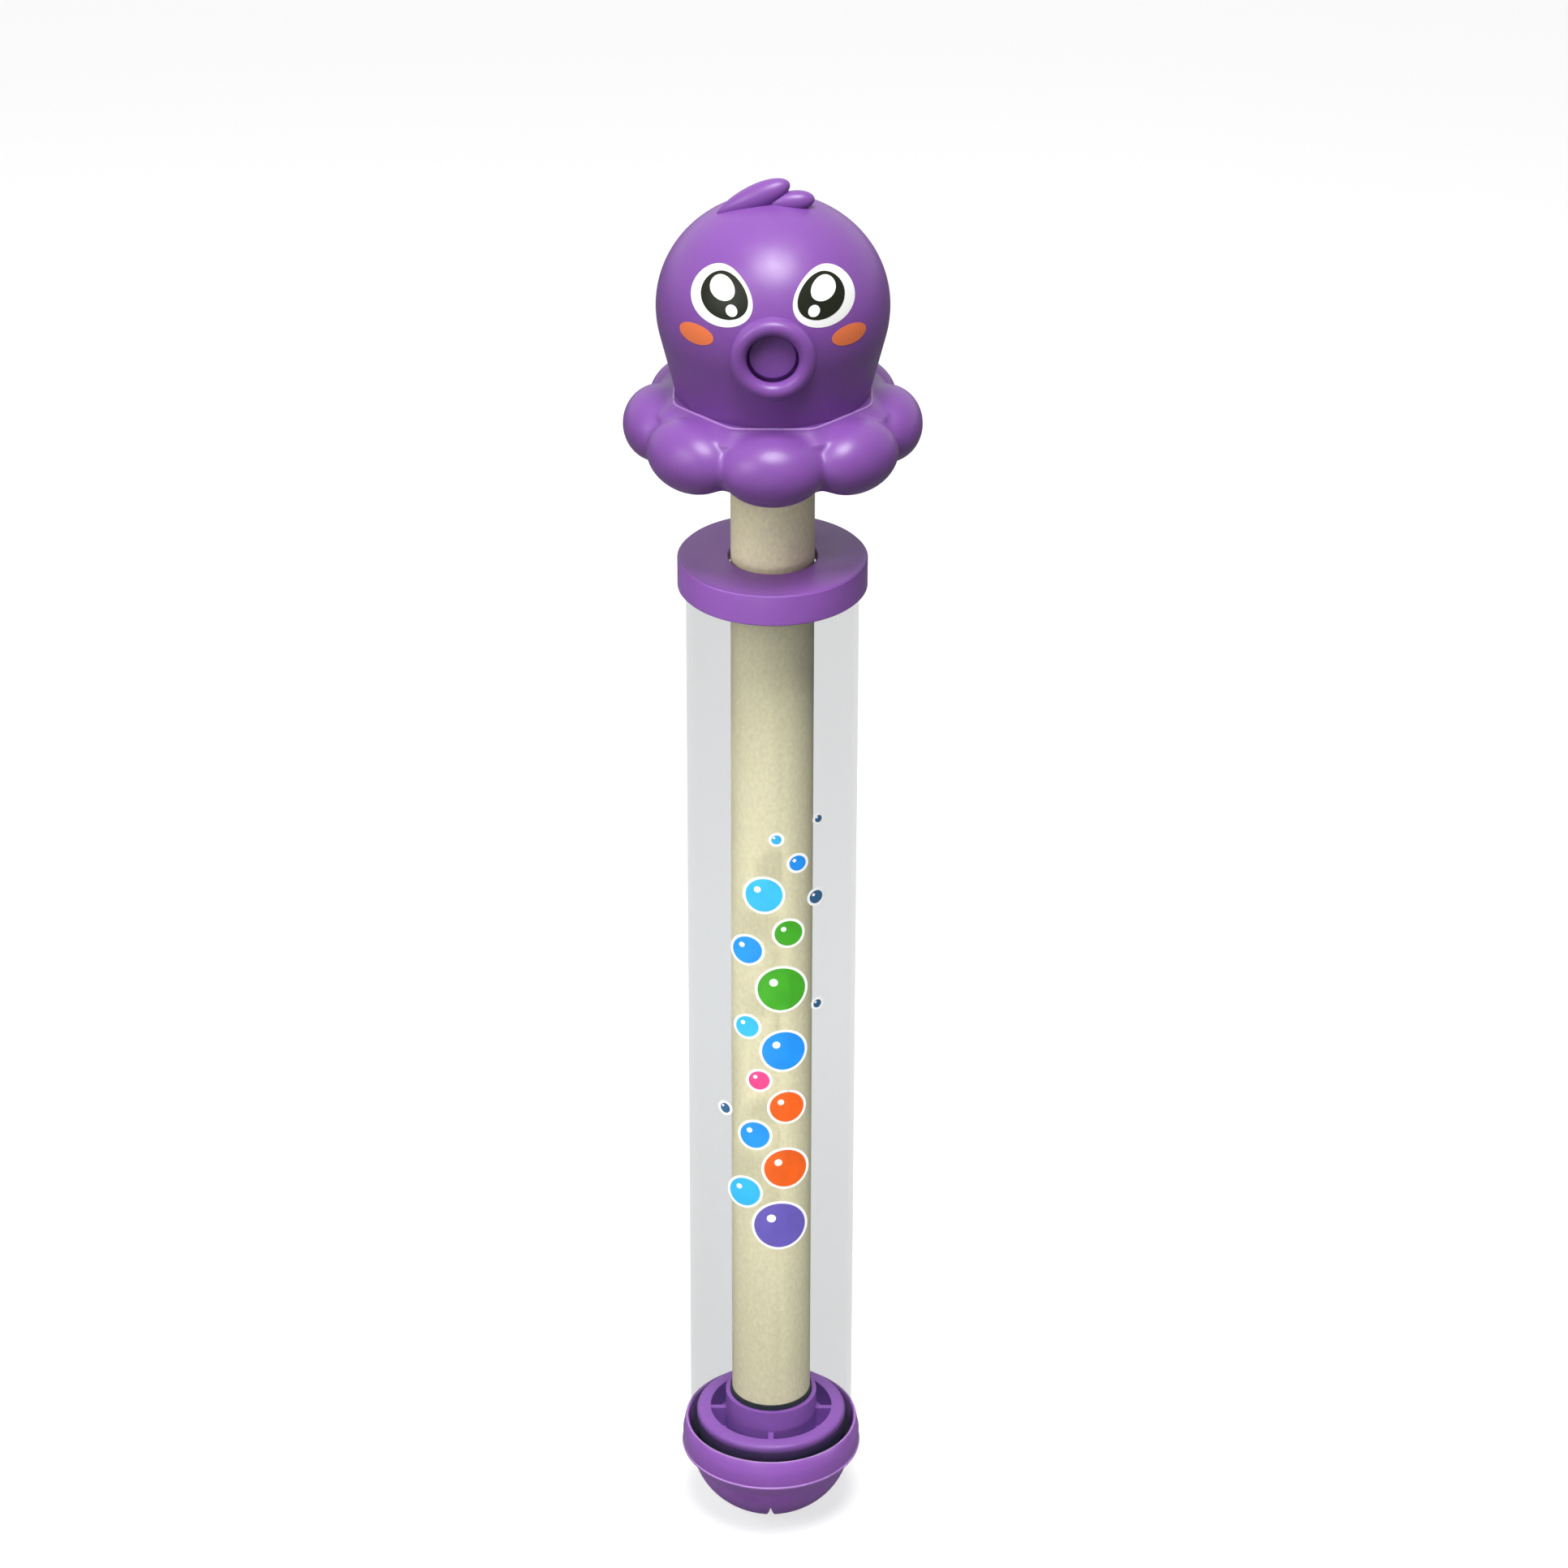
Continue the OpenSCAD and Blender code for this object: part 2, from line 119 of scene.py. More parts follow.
# Where the tube's tint and the piston's painted shade set in and where they are full, in millimetres
TUBE_TINT_R = (BARREL_R - 0.5, BARREL_R - 0.3)
PISTON_PAINTED_SHADE_R = (PISTON_R - 0.7, PISTON_R - 0.3)
PISTON_PAINTED_SHADE_Z = (RING_TOP_Z - 0.4, BAND_TOP_Z + 0.6)
# Colour, roughness, share of colour drift, its waves per metre, and the rod's own grain and stretch
FINISHES = {
    "purple_plastic": (PURPLE, 0.38, 0.04, 60),
    # The caps' and the piston's purple is a lighter copy that paints light
    "purple_cap_painted_light": (PURPLE_PAINTED_LIGHT, 0.38, 0.04, 60),
    # The piston's purple also gets painted shade on its outer wall, below
    "purple_piston": (PURPLE_PAINTED_LIGHT, 0.38, 0.04, 60),
    # The beads' lighter purple is a painted highlight
    "purple_painted_highlight": (PURPLE_PAINTED_HIGHLIGHT, 0.28, 0.04, 60),
    "beige_rod": (BEIGE, 0.5, 0.07, 1500, ROD_GRAIN_M, ROD_STRETCH),
    "black_rubber": (RUBBER, 0.6, 0.2, 60),
    "white_plug": (WHITE, 0.45, 0.05, 60),
    "screw_steel": (STEEL, 0.32, 0.08, 900),
    "eye_white": (INK_WHITE, 0.4, 0.01, 60),
    "eye_black": (INK_BLACK, 0.35, 0.15, 60),
    "cheek_orange": (INK_ORANGE, 0.45, 0.04, 60),
}


def principled(mat):
    return mat.node_tree.nodes["Principled BSDF"]


def shader(name):
    """A new material, its node tree and its Principled shader."""
    mat = bpy.data.materials.new(name)
    mat.use_nodes = True
    return mat, mat.node_tree, principled(mat)


def noise(tree, scale, detail=FINE_DETAIL, stretch=EVEN):
    """A noise texture in the piece's own coordinates, scale in waves per metre."""
    coords = tree.nodes.new("ShaderNodeTexCoord")
    place = tree.nodes.new("ShaderNodeMapping")
    place.inputs["Scale"].default_value = stretch
    tex = tree.nodes.new("ShaderNodeTexNoise")
    tex.inputs["Scale"].default_value = scale
    tex.inputs["Detail"].default_value = detail
    tree.links.new(coords.outputs["Object"], place.inputs["Vector"])
    tree.links.new(place.outputs["Vector"], tex.inputs["Vector"])
    return tex.outputs["Fac"]


def ramp(tree, value, ends, levels):
    """Levels that follow a value between two ends."""
    node = tree.nodes.new("ShaderNodeMapRange")
    node.inputs["From Min"].default_value = ends[0]
    node.inputs["From Max"].default_value = ends[1]
    node.inputs["To Min"].default_value = levels[0]
    node.inputs["To Max"].default_value = levels[1]
    tree.links.new(value, node.inputs["Value"])
    return node.outputs["Result"]


def ramp_mm(tree, value, ends, levels):
    """Levels that follow a length between two ends in millimetres."""
    return ramp(tree, value, (ends[0] * MM, ends[1] * MM), levels)


def noise_ramp(tree, value, low, high):
    return ramp(tree, value, (NOISE_LOW, NOISE_HIGH), (low, high))


def joined(tree, operation, first, second):
    """Two sockets joined by a math operation."""
    node = tree.nodes.new("ShaderNodeMath")
    node.operation = operation
    tree.links.new(first, node.inputs[0])
    tree.links.new(second, node.inputs[1])
    return node.outputs[0]


def blend(tree, factor, low, high):
    """Mixes two colours, each a tuple or a socket."""
    mix = tree.nodes.new("ShaderNodeMix")
    mix.data_type = "RGBA"
    tree.links.new(factor, mix.inputs[MIX_FACTOR])
    for place, color in ((MIX_A, low), (MIX_B, high)):
        if isinstance(color, tuple):
            mix.inputs[place].default_value = (*color, 1)
        else:
            tree.links.new(color, mix.inputs[place])
    return mix.outputs[MIX_RESULT]


def tinted(color, amount):
    """The colour made lighter or darker by a share."""
    return tuple(min(1.0, c * (1 + amount)) for c in color)


def drifting(tree, factor, color, amount):
    """The colour, a little darker and lighter by a texture."""
    share = noise_ramp(tree, factor, 0, 1)
    return blend(tree, share, tinted(color, -amount), tinted(color, amount))


def plastic(name, color, rough, drift, drift_scale, grain=GRAIN_M, stretch=EVEN):
    """Moulded plastic, metal or print: slow colour drift, uneven gloss and a fine surface grain."""
    mat, tree, bsdf = shader(name)
    blotches = noise(tree, drift_scale, DRIFT_DETAIL, stretch)
    tree.links.new(drifting(tree, blotches, color, drift), bsdf.inputs["Base Color"])
    gloss = noise(tree, drift_scale * GLOSS_RATIO, FINE_DETAIL, stretch)
    rough_out = noise_ramp(tree, gloss, rough * (1 - GLOSS_SPREAD), rough * (1 + GLOSS_SPREAD))
    tree.links.new(rough_out, bsdf.inputs["Roughness"])
    bump = tree.nodes.new("ShaderNodeBump")
    bump.inputs["Strength"].default_value = GRAIN_STRENGTH
    bump.inputs["Distance"].default_value = grain
    tree.links.new(noise(tree, GRAIN_SCALE, FINE_DETAIL, stretch), bump.inputs["Height"])
    tree.links.new(bump.outputs["Normal"], bsdf.inputs["Normal"])
    return mat


def axis_place(tree):
    """Distance from the barrel's axis and height along it, in metres, as sockets."""
    coords = tree.nodes.new("ShaderNodeTexCoord")
    flat = tree.nodes.new("ShaderNodeVectorMath")
    flat.operation = "MULTIPLY"
    flat.inputs[1].default_value = (1, 1, 0)
    radius = tree.nodes.new("ShaderNodeVectorMath")
    radius.operation = "LENGTH"
    parts = tree.nodes.new("ShaderNodeSeparateXYZ")
    tree.links.new(coords.outputs["Object"], flat.inputs[0])
    tree.links.new(flat.outputs["Vector"], radius.inputs[0])
    tree.links.new(coords.outputs["Object"], parts.inputs["Vector"])
    return radius.outputs["Value"], parts.outputs["Z"]


def clear_plastic(name):
    """Clear tube, tinted on its outside only, so that its edges look as grey as its middle."""
    mat, tree, bsdf = shader(name)
    frost = noise(tree, TUBE_FROST_SCALE, DRIFT_DETAIL, TUBE_FROST_STRETCH)
    tree.links.new(drifting(tree, frost, CLEAR, TUBE_DRIFT), bsdf.inputs["Base Color"])
    gloss = noise(tree, TUBE_GLOSS_SCALE)
    tree.links.new(noise_ramp(tree, gloss, *TUBE_ROUGH), bsdf.inputs["Roughness"])
    bsdf.inputs["Specular IOR Level"].default_value = TUBE_MIRROR
    radius = axis_place(tree)[0]
    tree.links.new(ramp_mm(tree, radius, TUBE_TINT_R, TUBE_ALPHA), bsdf.inputs["Alpha"])
    mat.surface_render_method = "BLENDED"
    return mat


def paint_piston_shade(mat):
    """Paints shade on the outer wall of the piston, darker downwards where it sinks into the band."""
    tree = mat.node_tree
    base = principled(mat).inputs["Base Color"]
    radius, height = axis_place(tree)
    wall = ramp_mm(tree, radius, PISTON_PAINTED_SHADE_R, (0, 1))
    depth = ramp_mm(tree, height, PISTON_PAINTED_SHADE_Z, (0, 1))
    bare = base.links[0].from_socket
    tree.links.new(blend(tree, joined(tree, "MULTIPLY", wall, depth), bare, PURPLE_PAINTED_SHADE), base)


mats = {name: plastic(name, *finish) for name, finish in FINISHES.items()}
mats["clear_barrel"] = clear_plastic("clear_barrel")
paint_piston_shade(mats["purple_piston"])
principled(mats["screw_steel"]).inputs["Metallic"].default_value = 1.0
principled(mats["eye_black"]).inputs["Specular IOR Level"].default_value = INK_MIRROR


# Meshes

ON_AXIS = 1e-6
TURN_STEPS = 128
BEAD_SIDES = 12
# Angles in degrees above which an edge is drawn sharp
SHARP_DEG = 40
ROUND_SHARP_DEG = 80


def mesh_object(name, verts_mm, faces, sharp_deg=SHARP_DEG):
    """A smooth mesh object from points in millimetres."""
    mesh = bpy.data.meshes.new(name)
    mesh.from_pydata([tuple(float(c) * MM for c in v) for v in verts_mm], [], faces)
    mesh.validate()
    mesh.shade_smooth()
    mesh.set_sharp_from_angle(angle=math.radians(sharp_deg))
    obj = bpy.data.objects.new(name, mesh)
    bpy.context.scene.collection.objects.link(obj)
    return obj


def outward(obj):
    """Turns the faces of a closed mesh outwards."""
    bm = bmesh.new()
    bm.from_mesh(obj.data)
    bmesh.ops.recalc_face_normals(bm, faces=bm.faces)
    bm.to_mesh(obj.data)
    bm.free()
    return obj


def dress(obj, body, mat):
    """Gives a piece its material and the body that it rides on."""
    obj.data.materials.clear()
    obj.data.materials.append(mats[mat])
    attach(obj, body)
    return obj


def octopus_piece(obj, mat="purple_plastic"):
    return dress(obj, "plunger", mat)


def round_steps(count):
    """Angles of equal steps round a full turn."""
    return np.linspace(0, 2 * math.pi, count, endpoint=False)


def ring_faces(rows, cols, close_rows):
    """Quads of a grid that is closed round its columns, and round its rows if asked."""
    out = []
    for i in range(rows if close_rows else rows - 1):
        for j in range(cols):
            a, b = i * cols + j, i * cols + (j + 1) % cols
            c, d = (i + 1) % rows * cols + (j + 1) % cols, (i + 1) % rows * cols + j
            out.append((a, b, c, d))
    return out


def lathe(name, profile, cols=TURN_STEPS, sharp_deg=SHARP_DEG):
    """Turns (radius, height) points round +Z. A point on the axis gets a fan to the next ring."""
    verts, rows = [], []
    for r, z in profile:
        if r < ON_AXIS:
            points = [(0, 0, z)]
        else:
            points = [(r * math.cos(t), r * math.sin(t), z) for t in round_steps(cols)]
        rows.append([len(verts) + j for j in range(len(points))])
        verts += points
    faces = []
    for low, high in zip(rows, rows[1:]):
        for j in range(cols):
            k = (j + 1) % cols
            if len(low) == 1:
                faces.append((low[0], high[k], high[j]))
            elif len(high) == 1:
                faces.append((low[j], low[k], high[0]))
            else:
                faces.append((low[j], low[k], high[k], high[j]))
    return outward(mesh_object(name, verts, faces, sharp_deg))


def tube_along(name, path, radius):
    """A thin round bead along a closed path of (radius, turn, height) points round the axis."""
    verts = []
    for r, t, z in path:
        for k in range(BEAD_SIDES):
            w = 2 * math.pi * k / BEAD_SIDES
            q = r + radius * math.cos(w)
            verts.append((q * math.cos(t), q * math.sin(t), z + radius * math.sin(w)))
    faces = ring_faces(len(path), BEAD_SIDES, True)
    return outward(mesh_object(name, verts, faces, ROUND_SHARP_DEG))


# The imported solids

MERGE_M = 2e-6
SHARP_EDGE = math.radians(50)
SOLIDS = {
    # The caps' lighter purple is painted light
    "nozzle_cap": "purple_cap_painted_light",
    "top_cap": "purple_cap_painted_light",
    "piston": "purple_piston",
    "skirt_base": "purple_plastic",
    "barrel_gasket": "black_rubber",
    "piston_o_ring": "black_rubber",
    "piston_screw_seal": "black_rubber",
    "rod_seal_ring": "black_rubber",
    "piston_screw": "screw_steel",
    "rod_top_screw": "screw_steel",
    "rod_top_washer": "screw_steel",
    "base_screws": "screw_steel",
    "rod_bottom_plug": "white_plug",
    "rod_top_plug": "white_plug",
    "plunger_rod": "beige_rod",
    "barrel_tube": "clear_barrel",
}
BEAD_STEPS = 192
# The rounded foot and top edge of the nozzle's band, whose lighter purple is a painted highlight:
# name, radius, height, thickness
BAND_BEADS = [
    ("band_foot_bead", BAND_R - 0.12, BAND_FOOT_Z + 0.15, 0.3),
    ("band_top_bead", BAND_TOP_R + 0.05, BAND_TOP_Z - 0.12, 0.2),
]


def smooth_group():
    """Geometry nodes that join the faces of a solid and shade it smooth except at its edges."""
    group = bpy.data.node_groups.new("smooth_solid", "GeometryNodeTree")
    group.interface.new_socket("Geometry", in_out="INPUT", socket_type="NodeSocketGeometry")
    group.interface.new_socket("Geometry", in_out="OUTPUT", socket_type="NodeSocketGeometry")
    start = group.nodes.new("NodeGroupInput")
    end = group.nodes.new("NodeGroupOutput")
    merge = group.nodes.new("GeometryNodeMergeByDistance")
    merge.inputs["Distance"].default_value = MERGE_M
    bare = group.nodes.new("GeometryNodeRemoveAttribute")
    bare.inputs["Name"].default_value = "custom_normal"
    smooth = group.nodes.new("GeometryNodeSetShadeSmooth")
    smooth.domain = "FACE"
    sharp = group.nodes.new("GeometryNodeSetShadeSmooth")
    sharp.domain = "EDGE"
    sharp.inputs["Shade Smooth"].default_value = False
    angle = group.nodes.new("GeometryNodeInputMeshEdgeAngle")
    over = group.nodes.new("FunctionNodeCompare")
    over.operation = "GREATER_THAN"
    over.inputs[1].default_value = SHARP_EDGE
    links = group.links
    links.new(start.outputs[0], merge.inputs["Geometry"])
    links.new(merge.outputs["Geometry"], bare.inputs["Geometry"])
    links.new(bare.outputs["Geometry"], smooth.inputs["Geometry"])
    links.new(smooth.outputs["Geometry"], sharp.inputs["Geometry"])
    links.new(angle.outputs["Unsigned Angle"], over.inputs[0])
    links.new(over.outputs["Result"], sharp.inputs["Selection"])
    links.new(sharp.outputs["Geometry"], end.inputs[0])
    return group


def finish_solid(obj, mat, smooth):
    """Gives a CAD solid its material and soft shading over its small chamfers."""
    obj.data.materials.clear()
    obj.data.materials.append(mat)
    tidy = obj.modifiers.new("smooth_solid", "NODES")
    tidy.node_group = smooth
    weigh = obj.modifiers.new("weigh_normals", "WEIGHTED_NORMAL")
    weigh.keep_sharp = True


def solids():
    smooth = smooth_group()
    for name, mat in SOLIDS.items():
        finish_solid(nodes[name], mats[mat], smooth)
    nodes["barrel_tube"].visible_shadow = False


def band_beads():
    for name, radius, z, thick in BAND_BEADS:
        bead = tube_along(name, [(radius, t, z) for t in round_steps(BEAD_STEPS)], thick)
        dress(bead, "barrel", "purple_painted_highlight")


solids()
band_beads()


# Head

HEAD_STEPS = 192
CONE_ROWS = 28
BELT_ROWS = 10
CROWN_ROWS = 48
MOUTH_LAP = 0.4
MOUTH_FLOOR_R = 4.05
MOUTH_FLOOR_D = 1.05
MOUTH_GROOVE_D = 2.2
MOUTH_ROOT = 2.8
MOUTH_SOFT = 0.3
MOUTH_SOFT_ROWS = 6
MOUTH_SHARP_DEG = 60
LIP_TUCK = 0.85
LIP_ROWS = 44
LIP_EDGE = 0.4
LEAF_STEPS = 64
LEAF_ROWS = 48
# Share of a leaf's length at which it is widest
LEAF_WIDEST = 0.6
# Name, length, radius, foot and rise in degrees
TUFT = [
    ("tuft_big_leaf", 13.4, 2.15, (-9.5, 0, CROWN_Z - 2.2), 24),
    ("tuft_small_leaf", 8.8, 1.75, (-1.8, -0.4, CROWN_Z - 0.3), 6),
]


def head_radius(z):
    """Radius of the head at a height, in millimetres."""
    rise = z - HEAD_Z
    if rise >= 0:
        return HEAD_R * math.sqrt(max(0.0, 1 - (rise / CROWN_H) ** 2))
    if rise >= -HEAD_R * math.sin(FACE_SLOPE):
        return math.sqrt(HEAD_R**2 - rise**2)
    return HEAD_R / math.cos(FACE_SLOPE) + rise * math.tan(FACE_SLOPE)


def head_grade(z, step=0.01):
    """How fast the head's radius grows with height."""
    return (head_radius(z + step) - head_radius(z - step)) / (2 * step)


def head_profile():
    """Radius and height of the head from its foot to its top."""

    def arc(height, start, stop, count, endpoint):
        angles = np.linspace(start, stop, count, endpoint=endpoint)
        return [(HEAD_R * math.cos(w), HEAD_Z + height * math.sin(w)) for w in angles]

    slope_end = HEAD_Z - HEAD_R * math.sin(FACE_SLOPE)
    heights = np.linspace(HEAD_FOOT_Z, slope_end, CONE_ROWS, endpoint=False)
    cone = [(head_radius(z), z) for z in heights]
    belt = arc(HEAD_R, -FACE_SLOPE, 0, BELT_ROWS, False)
    crown = arc(CROWN_H, 0, math.pi / 2, CROWN_ROWS, True)
    crown[-1] = (0.0, CROWN_Z)
    return [(0.0, HEAD_FOOT_Z)] + cone + belt + crown


def in_mouth(face):
    at = face.calc_center_median()
    return at.y < 0 and math.hypot(at.x, at.z - MOUTH_Z * MM) < (LIP_RING_R - MOUTH_LAP) * MM


def head():
    """The head in one piece, open where the mouth sits."""
    obj = lathe("octopus_head", head_profile(), cols=HEAD_STEPS)
    bm = bmesh.new()
    bm.from_mesh(obj.data)
    bmesh.ops.delete(bm, geom=[f for f in bm.faces if in_mouth(f)], context="FACES")
    bm.to_mesh(obj.data)
    bm.free()
    octopus_piece(obj)
    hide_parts("head_front_shell", "head_rear_shell")


def mouth():
    """Round lips and a flat floor with a groove between them, turned about the mouth's own axis."""
    flat_r = MOUTH_FLOOR_R - MOUTH_SOFT
    rim_r = LIP_RING_R + LIP_R
    profile = [(0.0, -MOUTH_FLOOR_D), (flat_r / 2, -MOUTH_FLOOR_D)]
    for w in np.linspace(0, math.pi / 2, MOUTH_SOFT_ROWS):
        drop = MOUTH_SOFT * (1 - math.cos(w))
        profile.append((flat_r + MOUTH_SOFT * math.sin(w), -MOUTH_FLOOR_D - drop))
    turns = np.linspace(math.pi + LIP_TUCK, 0, LIP_ROWS)
    lip = [(LIP_RING_R + LIP_R * math.cos(w), LIP_R * math.sin(w)) for w in turns]
    profile += [(MOUTH_FLOOR_R, -MOUTH_GROOVE_D), (lip[0][0], -MOUTH_GROOVE_D)] + lip
    profile += [(rim_r, -LIP_EDGE), (rim_r, -MOUTH_ROOT), (0.0, -MOUTH_ROOT)]
    obj = lathe("octopus_mouth", profile, sharp_deg=MOUTH_SHARP_DEG)
    place = Matrix.Translation((0, LIP_Y * MM, MOUTH_Z * MM))
    obj.data.transform(place @ Matrix.Rotation(math.pi / 2, 4, "X"))
    octopus_piece(obj)


def leaf(name, length, radius, foot, rise_deg):
    """A leaf of the tuft: pointed at its foot and round at its end."""

    def swell(w):
        return math.sin(w) * math.sqrt(math.sin(w / 2))

    widest = swell(2 * math.asin(math.sqrt(LEAF_WIDEST)))
    turns = np.linspace(0, math.pi, LEAF_ROWS)
    profile = [(radius / widest * swell(w), length * (1 - math.cos(w)) / 2) for w in turns]
    profile[0], profile[-1] = (0.0, 0.0), (0.0, length)
    obj = lathe(name, profile, cols=LEAF_STEPS)
    lean = Matrix.Rotation(math.radians(90 - rise_deg), 4, "Y")
    obj.data.transform(Matrix.Translation(Vector(foot) * MM) @ lean)
    octopus_piece(obj)


head()
mouth()
for row in TUFT:
    leaf(*row)


# Face, as thin printed patches that follow the head

PRINT_ROOT = 0.1
PATCH_RINGS = 10
PATCH_STEPS = 72
# Name, turn from the front, height, half length, half width, tilt, lift and ink, angles in degrees
FACE = [
    ("eye_white", 29.9, 254.96, 6.29, 4.86, 22.6, 0.05, "eye_white"),
    ("pupil", 27.6, 255.19, 4.76, 3.66, 27.1, 0.09, "eye_black"),
    ("eye_glint", 29.3, 256.33, 2.6, 1.95, 30.6, 0.13, "eye_white"),
    ("eye_spark", 21.4, 253.25, 1.1, 0.95, 33, 0.13, "eye_white"),
    ("cheek", 40.7, 248.03, 3.78, 1.76, 0.5, 0.05, "cheek_orange"),
]


def head_patch(name, turn_deg, z, half_l, half_w, tilt_deg, lift, ink):
    """An oval on the head, turned round from the front, its long side tilted, above the surface."""
    run = 1 / math.hypot(1, head_grade(z))
    r0, tilt = head_radius(z), math.radians(tilt_deg)

    def point(u, v, up):
        height = z + v * run
        r = head_radius(height)
        a = math.radians(turn_deg) + u / r0
        n = Vector((math.sin(a), -math.cos(a), -head_grade(height))).normalized()
        return Vector((r * math.sin(a), -r * math.cos(a), height)) + n * up

    verts = []
    layers = [(i / PATCH_RINGS, lift) for i in range(1, PATCH_RINGS + 1)] + [(1.0, -PRINT_ROOT)]
    for share, up in layers:
        for w in round_steps(PATCH_STEPS):
            a, b = share * half_l * math.cos(w), share * half_w * math.sin(w)
            u = a * math.cos(tilt) - b * math.sin(tilt)
            v = a * math.sin(tilt) + b * math.cos(tilt)
            verts.append(point(u, v, up))
    faces = ring_faces(len(layers), PATCH_STEPS, False)
    top, under = len(verts), len(verts) + 1
    verts += [point(0, 0, lift), point(0, 0, -PRINT_ROOT)]
    last = (len(layers) - 1) * PATCH_STEPS
    for j in range(PATCH_STEPS):
        k = (j + 1) % PATCH_STEPS
        faces.append((top, k, j))
        faces.append((under, last + j, last + k))
    dress(outward(mesh_object(name, verts, faces)), "plunger", ink)


def face_print(side, label):
    """Eye and cheek of one side, -1 for the left and 1 for the right."""
    for name, turn, z, half_l, half_w, tilt, lift, ink in FACE:
        tilted = tilt if side > 0 else 180 - tilt
        head_patch(f"{name}_{label}", side * turn, z, half_l, half_w, tilted, lift, ink)


face_print(-1, "left")
face_print(1, "right")


# Tentacles

RIM_TOP = 6.5
RIM_REACH = 16.8
RIM_BEAD_R = 0.26
RIM_SINK = 0.08
RIM_STEPS = 384
COLLAR_FALL = 0.75
COLLAR_REACH = 19.4
COLLAR_DROP = 3.8
COLLAR_SOFT = 0.12
LOBE_SOFT = 0.4
CORNER_SOFT = 0.45
CORE_R = 17.6
SKIRT_INNER_R = HEAD_R * 0.6
SKIRT_STEPS = 480
SKIRT_ROWS = 128
# Distances between which the skirt's surface and the rim's path are looked for
SKIRT_NEAR, SKIRT_FAR = 0.3, 11.0
RIM_NEAR, RIM_FAR = 10.0, 22.0
HALVINGS = 40


def soft_max(values, soft):
    """The largest of some values, with the changeover between them rounded."""
    peak = np.max(values, axis=0)
    return peak + soft * np.log(np.sum(np.exp((values - peak) / soft), axis=0))


def skirt_field(x, y, z):
    """Signed field of the tentacles and of the eight-sided collar that joins them, in millimetres."""
    lobes, outs = [], []
    for a in round_steps(LOBE_COUNT):
        out = x * math.sin(a) - y * math.cos(a)
        along = x * math.cos(a) + y * math.sin(a)
        across = np.sqrt((out - LOBE_RING_R) ** 2 + z**2)
        lobes.append((np.sqrt((along / LOBE_HALF_L) ** 2 + (across / LOBE_R) ** 2) - 1) * LOBE_R)
        outs.append(out)
    reach = soft_max(np.array(outs), CORNER_SOFT)
    steep = 1 / math.hypot(1, COLLAR_FALL)
    slope = (z - RIM_TOP + COLLAR_FALL * (reach - RIM_REACH)) * steep
    sides = [z - RIM_TOP, slope, reach - COLLAR_REACH, -z - COLLAR_DROP]
    collar = soft_max(np.array(sides), COLLAR_SOFT)
    return -soft_max(-np.array(lobes + [collar]), LOBE_SOFT)


def tentacles():
    """The skirt's surface, found along rays from a ring inside it by halving."""
    t = round_steps(SKIRT_STEPS)[None, :]
    w = round_steps(SKIRT_ROWS)[:, None]
    near = np.full((SKIRT_ROWS, SKIRT_STEPS), SKIRT_NEAR)
    far = np.full((SKIRT_ROWS, SKIRT_STEPS), SKIRT_FAR)
    for _ in range(HALVINGS):
        mid = (near + far) / 2
        r = CORE_R + mid * np.cos(w)
        inside = skirt_field(r * np.cos(t), r * np.sin(t), mid * np.sin(w)) < 0
        inside &= r > SKIRT_INNER_R
        near, far = np.where(inside, mid, near), np.where(inside, far, mid)
    r = CORE_R + near * np.cos(w)
    verts = np.stack([r * np.cos(t), r * np.sin(t), SKIRT_Z + near * np.sin(w)], -1).reshape(-1, 3)
    faces = ring_faces(SKIRT_ROWS, SKIRT_STEPS, True)
    obj = outward(mesh_object("tentacles", verts, faces, ROUND_SHARP_DEG))
    octopus_piece(obj)
    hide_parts("tentacle_skirt")


def tentacle_rim():
    """The fine rounded edge of the collar, an octagon with soft corners round the head, in a lighter
    purple that paints its highlight.
    """
    path = []
    for t in round_steps(RIM_STEPS):
        shares = np.cos(t + math.pi / 2 - round_steps(LOBE_COUNT))
        low, high = RIM_NEAR, RIM_FAR
        for _ in range(HALVINGS):
            mid = (low + high) / 2
            short = soft_max(mid * shares, CORNER_SOFT) < RIM_REACH
            low, high = (mid, high) if short else (low, mid)
        path.append((low, t, SKIRT_Z + RIM_TOP - RIM_SINK))
    octopus_piece(tube_along("tentacle_rim", path, RIM_BEAD_R), "purple_painted_highlight")


tentacles()
tentacle_rim()


# Print on the tube: plain bubbles

PRINT_GAP = 0.01
PINHOLE_R = 0.01
EDGE_LIFT, BUBBLE_LIFT, GLINT_LIFT = 0.03, 0.06, 0.09
EDGE_W = 0.5
GLINT_SHIFT = 0.3
GLINT_SIZE = 0.16
DISC_RINGS = 6
DISC_STEPS = 64
# Roughness, share of colour drift and its waves per metre
INK_FINISH = (0.4, 0.08, 250)
INKS = {
    "blue": (0.010, 0.26, 0.80),
    "sky": (0.03, 0.45, 0.80),
    "green": (0.045, 0.35, 0.012),
    "orange": (0.80, 0.11, 0.006),
    "violet": (0.12, 0.09, 0.42),
    "pink": (0.74, 0.05, 0.22),
    "navy": (0.02, 0.10, 0.22),
}
